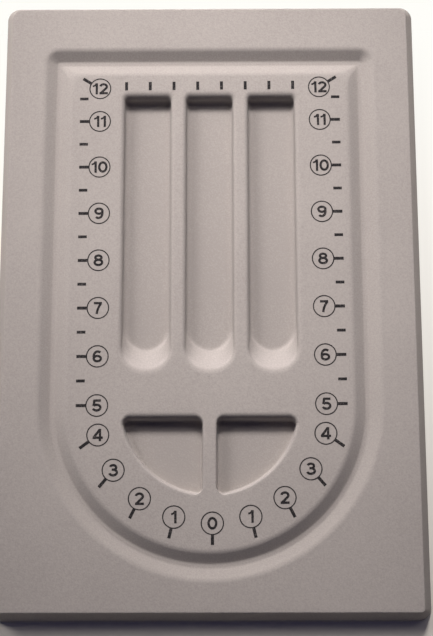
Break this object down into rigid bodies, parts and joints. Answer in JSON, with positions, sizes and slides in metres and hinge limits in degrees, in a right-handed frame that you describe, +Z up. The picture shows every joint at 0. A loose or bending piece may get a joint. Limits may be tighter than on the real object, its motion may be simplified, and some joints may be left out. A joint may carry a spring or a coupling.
{
  "type": "bead board",
  "caption": "Flocked grey bead board: a shallow formed tray with a measuring channel, bead wells and a printed inch scale, for laying out a necklace before stringing.",
  "frame": {"origin": "on the ground under the middle of the board, at the foot of its skirt", "axes": "+X to the right as the numbers are read, +Y towards the back edge, +Z up out of the deck"},
  "size_m": [0.221, 0.328, 0.0102],
  "materials": {
    "sheet": "satin formed sheet",
    "flock": "matt flock",
    "ink": "matt printed ink"
  },
  "bodies": {
    "root": {"tray_shell": "sheet", "flock_cover": "flock", "inch_mark_0": "ink", "inch_mark_left_1": "ink", "inch_mark_left_2": "ink", "inch_mark_left_3": "ink", "inch_mark_left_4": "ink", "inch_mark_left_5": "ink", "inch_mark_left_6": "ink", "inch_mark_left_7": "ink", "inch_mark_left_8": "ink", "inch_mark_left_9": "ink", "inch_mark_left_10": "ink", "inch_mark_left_11": "ink", "inch_mark_left_12": "ink", "half_inch_tick_left_5_5": "ink", "half_inch_tick_left_6_5": "ink", "half_inch_tick_left_7_5": "ink", "half_inch_tick_left_8_5": "ink", "half_inch_tick_left_9_5": "ink", "half_inch_tick_left_10_5": "ink", "half_inch_tick_left_11_5": "ink", "inch_mark_right_1": "ink", "inch_mark_right_2": "ink", "inch_mark_right_3": "ink", "inch_mark_right_4": "ink", "inch_mark_right_5": "ink", "inch_mark_right_6": "ink", "inch_mark_right_7": "ink", "inch_mark_right_8": "ink", "inch_mark_right_9": "ink", "inch_mark_right_10": "ink", "inch_mark_right_11": "ink", "inch_mark_right_12": "ink", "half_inch_tick_right_5_5": "ink", "half_inch_tick_right_6_5": "ink", "half_inch_tick_right_7_5": "ink", "half_inch_tick_right_8_5": "ink", "half_inch_tick_right_9_5": "ink", "half_inch_tick_right_10_5": "ink", "half_inch_tick_right_11_5": "ink", "back_row_tick_1": "ink", "back_row_tick_2": "ink", "back_row_tick_3": "ink", "back_row_tick_4": "ink", "back_row_tick_5": "ink", "back_row_tick_6": "ink", "back_row_tick_7": "ink", "back_row_tick_8": "ink"}
  },
  "joints": []
}
